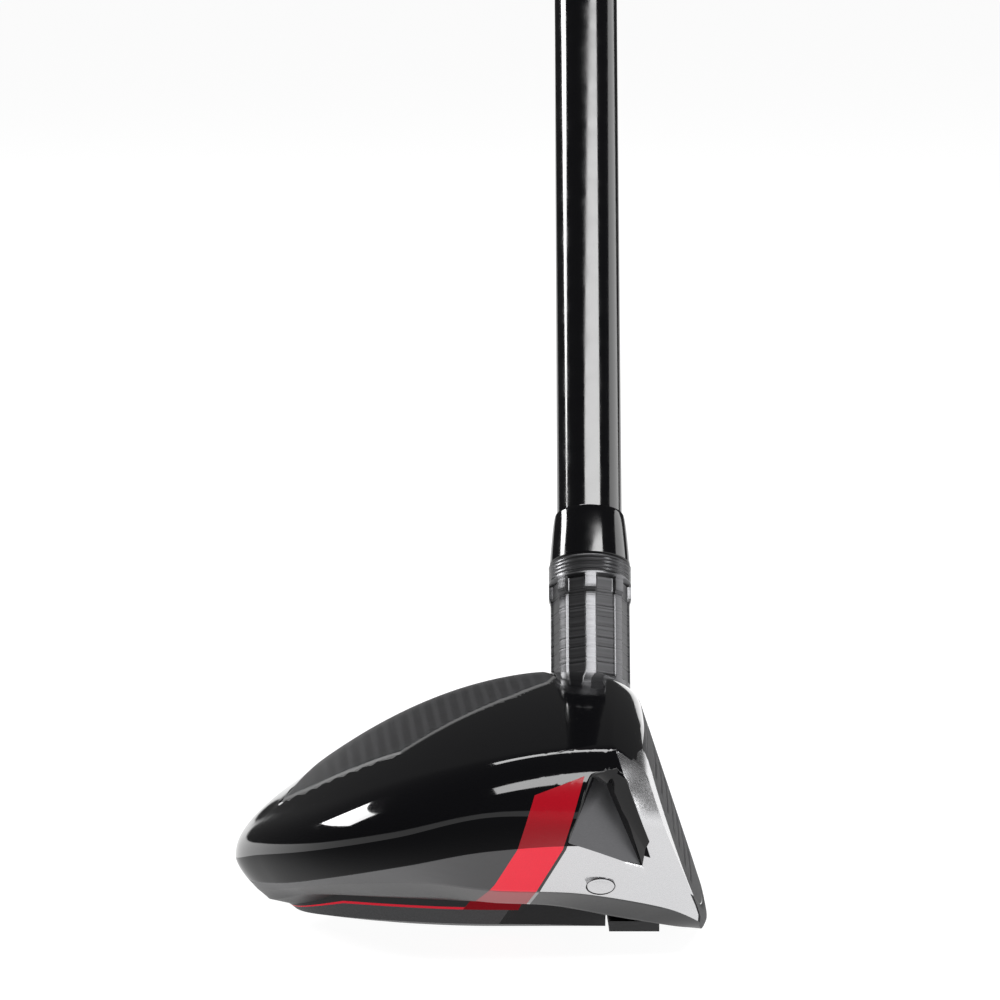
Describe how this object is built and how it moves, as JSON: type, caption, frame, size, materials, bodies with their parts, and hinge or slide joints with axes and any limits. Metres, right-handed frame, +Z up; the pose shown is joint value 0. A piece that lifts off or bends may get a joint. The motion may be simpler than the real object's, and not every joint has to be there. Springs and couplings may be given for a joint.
{
  "type": "hybrid golf club",
  "caption": "Hybrid golf club at address: hollow head with a flat grooved face, domed crown and raised sole, fluted hosel, tapered shaft and rubber grip.",
  "frame": {"origin": "on the small flat at the middle of the sole, where the club rests on the ground at address", "axes": "+X the target direction, which the face looks towards; +Y from the toe towards the heel and the golfer; +Z up. The shaft leans 61 degrees from the ground towards +Y."},
  "size_m": [0.0656, 0.5706, 0.8939],
  "materials": {
    "head_paint": "gloss black paint, with a red band round the toe and a thin red line along the sole",
    "face_steel": "dark satin steel with cut score lines",
    "crown_carbon": "matte dark carbon weave",
    "sole_strip": "matte grey, finely grained",
    "slot_polymer": "matte black filler",
    "plug_steel": "satin steel disc",
    "hosel_steel": "dark satin steel, turned",
    "ferrule_plastic": "gloss black",
    "shaft_graphite": "gloss black lacquer over graphite",
    "tip_weight_brass": "plain",
    "grip_tape": "paper tape, unseen",
    "grip_rubber": "matte black, finely textured",
    "cap_rubber": "smooth matte black"
  },
  "bodies": {
    "root": {"head_body": "head_paint", "face_plate": "face_steel", "crown_panel": "crown_carbon", "sole_rear_strip": "sole_strip", "slot_insert": "slot_polymer", "toe_port_plug": "plug_steel", "hosel": "hosel_steel", "ferrule": "ferrule_plastic", "shaft": "shaft_graphite", "tip_weight": "tip_weight_brass", "grip_tape": "grip_tape", "grip": "grip_rubber", "grip_end_cap": "cap_rubber"}
  },
  "joints": []
}
